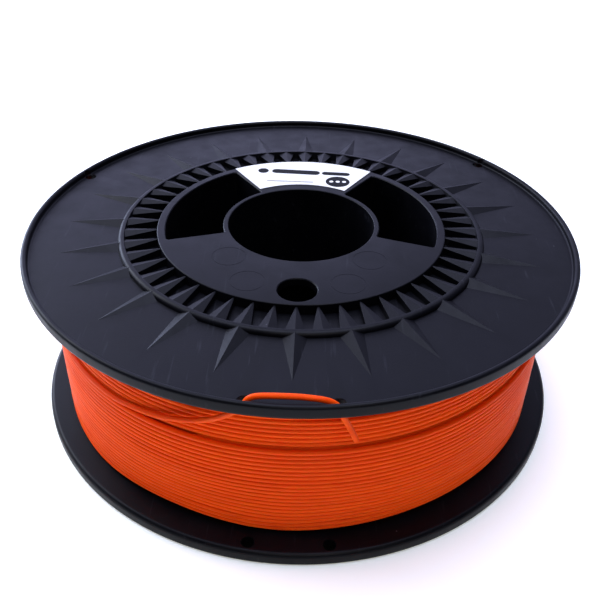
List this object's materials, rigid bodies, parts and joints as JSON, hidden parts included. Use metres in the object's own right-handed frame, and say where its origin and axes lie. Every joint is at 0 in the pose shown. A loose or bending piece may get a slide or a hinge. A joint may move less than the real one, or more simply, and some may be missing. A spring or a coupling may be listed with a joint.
{
  "type": "filament spool",
  "caption": "Flat plastic spool wound with orange 3D-printing filament, its free end threaded through the rim; open hub windows, a driving hole and a ribbed ring with pointed ribs.",
  "frame": {"origin": "on the spool axis, at the lower face that the spool rests on", "axes": "+Z along the spool axis, -Y towards the side with the driving hole and the threaded rim holes, +X to the right of that side"},
  "size_m": [0.2, 0.2, 0.0686],
  "materials": {
    "spool_plastic": "moulded charcoal plastic, satin, fine texture",
    "filament": "extruded orange plastic, soft gloss",
    "label_paper": null
  },
  "bodies": {
    "root": {"spool_half_upper": "spool_plastic", "spool_half_lower": "spool_plastic", "filament_winding": "filament", "filament_tail": "filament", "hub_label": "label_paper"}
  },
  "joints": []
}
